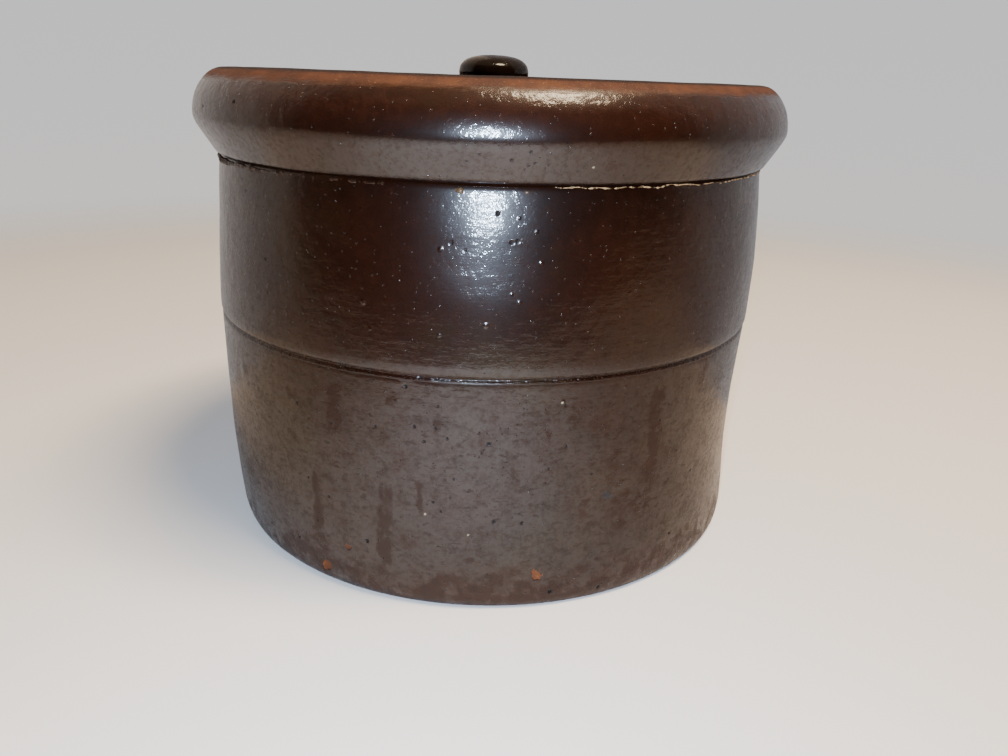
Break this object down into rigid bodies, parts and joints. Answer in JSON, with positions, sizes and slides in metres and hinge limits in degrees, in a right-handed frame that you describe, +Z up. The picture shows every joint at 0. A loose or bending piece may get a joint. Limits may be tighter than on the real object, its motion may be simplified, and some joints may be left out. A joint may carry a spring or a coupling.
{
  "type": "lidded crock",
  "caption": "Round straight-sided stoneware crock with a thick rolled rim and an inset lid that lifts off by a button knob.",
  "frame": {"origin": "centre of the flat base", "axes": "+Z up along the pot's axis, the pictured side faces -Y, +X to its right"},
  "size_m": [0.2476, 0.2476, 0.198],
  "materials": {
    "pot_glaze": "glossy brown slip glaze over a pebbled stoneware wall",
    "lid_glaze": "dark brown slip glaze with low throwing rings",
    "knob_glaze": "very glossy near-black glaze"
  },
  "bodies": {
    "pot": {"crock_pot": "pot_glaze"},
    "lid": {"lid_disc": "lid_glaze", "lid_knob": "knob_glaze"}
  },
  "joints": [
    {"name": "lid_lift", "type": "slide", "parent": "pot", "child": "lid", "axis": [0, 0, 1], "range_m": [0, 0.2]}
  ]
}
